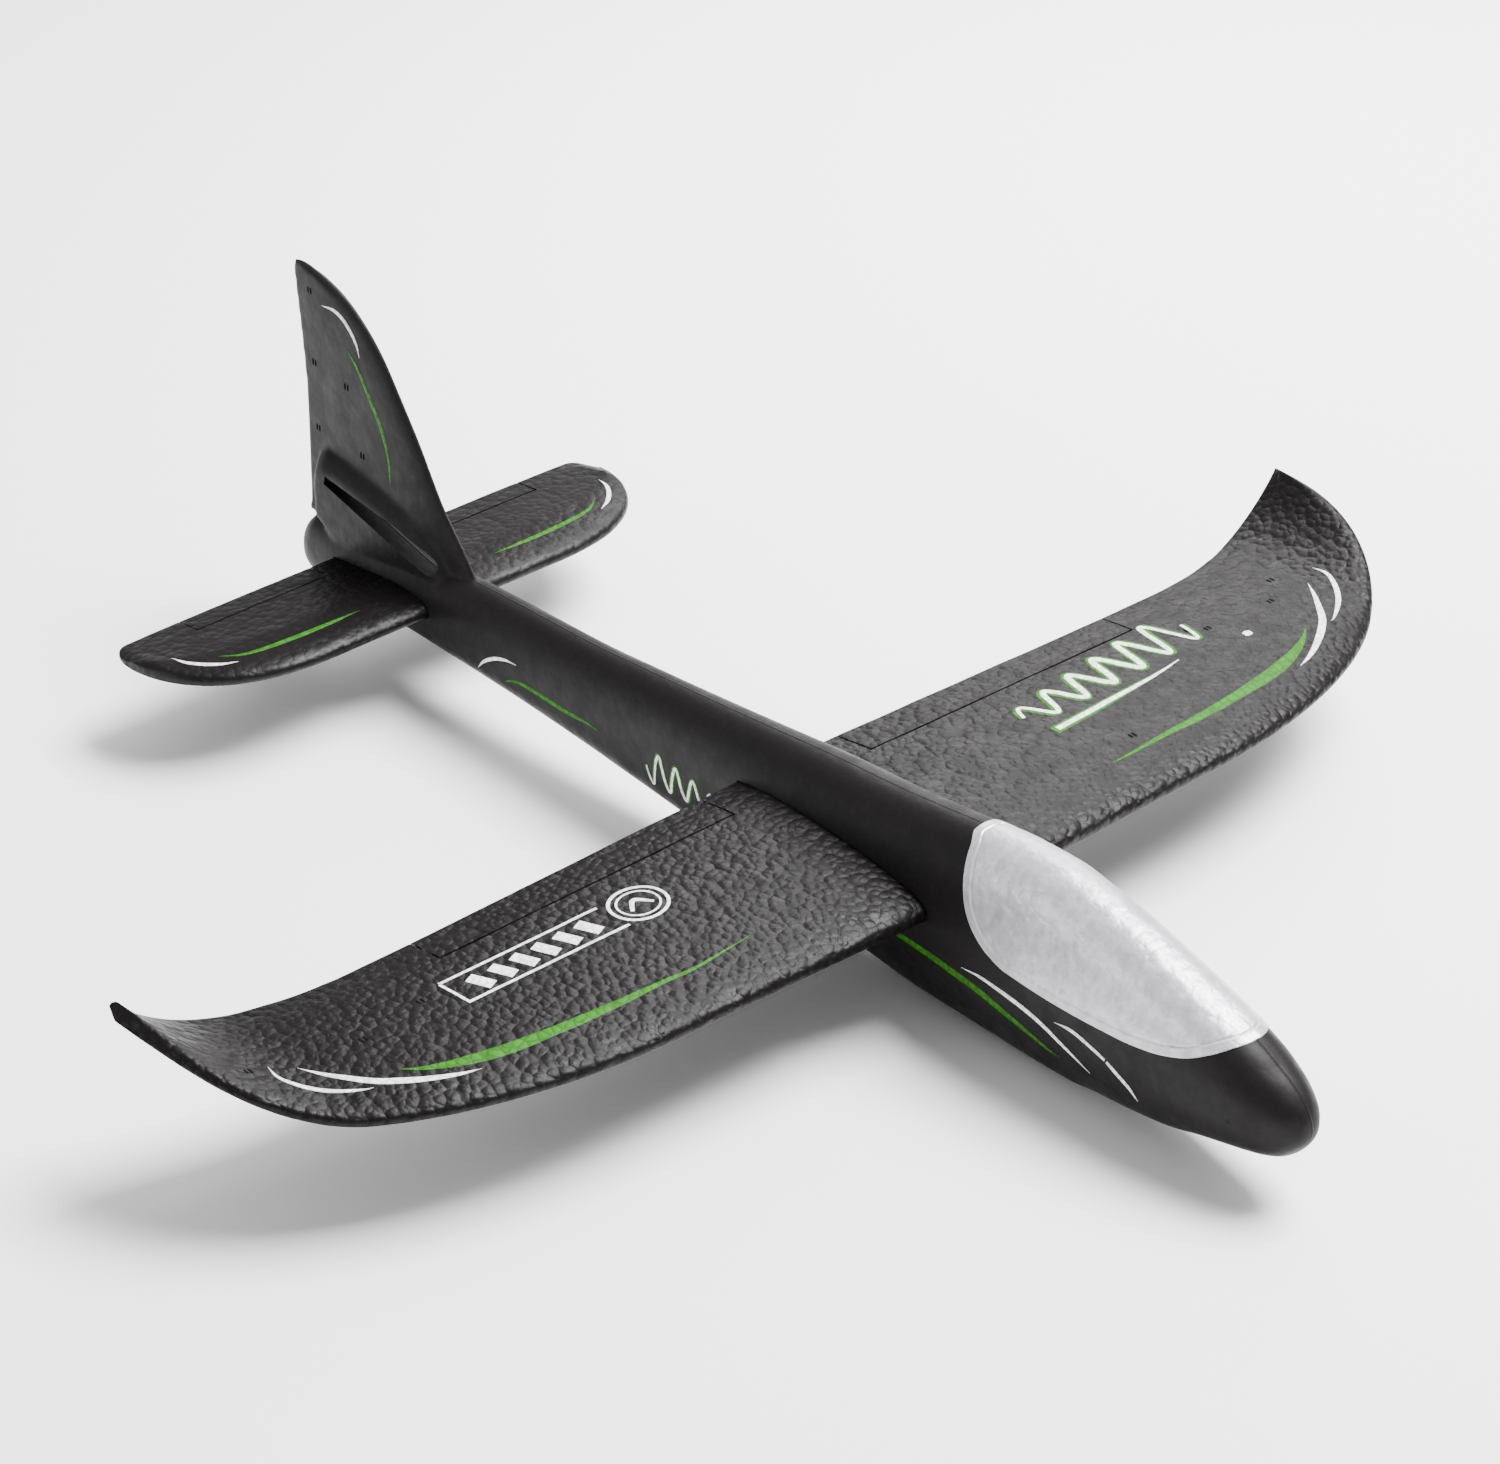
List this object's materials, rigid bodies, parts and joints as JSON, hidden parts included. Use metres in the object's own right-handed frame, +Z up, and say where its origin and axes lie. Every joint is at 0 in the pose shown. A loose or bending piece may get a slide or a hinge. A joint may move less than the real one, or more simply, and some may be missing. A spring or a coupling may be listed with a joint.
{
  "type": "foam hand-launch glider",
  "caption": "Moulded bead-foam glider with one-piece wing, slotted fin and tailplane, creased trim flaps and silver canopy film.",
  "frame": {"origin": "centre of the wing span and of the overall length, on the belly's lowest point", "axes": "+X across the span towards the left wing, nose towards -Y, +Z up"},
  "size_m": [0.4842, 0.46, 0.1318],
  "materials": {
    "fuselage_foam": "smooth-skinned black moulded bead foam",
    "wing_foam": "pebbled black moulded bead foam",
    "tail_foam": "pebbled black moulded bead foam",
    "canopy_film": "metallised silver adhesive film",
    "nose_weight": "plain steel"
  },
  "bodies": {
    "airframe": {"fuselage": "fuselage_foam", "wing": "wing_foam", "canopy_film": "canopy_film", "nose_weight": "nose_weight"},
    "tailplane": {"tailplane": "tail_foam"},
    "aileron_left": {"aileron_left": "wing_foam"},
    "aileron_right": {"aileron_right": "wing_foam"},
    "elevator_left": {"elevator_left": "tail_foam"},
    "elevator_right": {"elevator_right": "tail_foam"}
  },
  "joints": [
    {"name": "tailplane_slide", "type": "slide", "parent": "airframe", "child": "tailplane", "axis": [1, 0, 0], "range_m": [0, 0.11]},
    {"name": "aileron_left_hinge", "type": "hinge", "parent": "airframe", "child": "aileron_left", "pos_m": [0.028, -0.017, 0.04433], "axis": [0.9999, 0, -0.0133], "range_deg": [-20, 20]},
    {"name": "aileron_right_hinge", "type": "hinge", "parent": "airframe", "child": "aileron_right", "pos_m": [-0.028, -0.017, 0.04433], "axis": [0.9999, 0, 0.0133], "range_deg": [-20, 20]},
    {"name": "elevator_left_hinge", "type": "hinge", "parent": "tailplane", "child": "elevator_left", "pos_m": [0.0175, 0.195, 0.03289], "axis": [1, 0, 0], "range_deg": [-20, 20]},
    {"name": "elevator_right_hinge", "type": "hinge", "parent": "tailplane", "child": "elevator_right", "pos_m": [-0.0175, 0.195, 0.03289], "axis": [1, 0, 0], "range_deg": [-20, 20]}
  ]
}
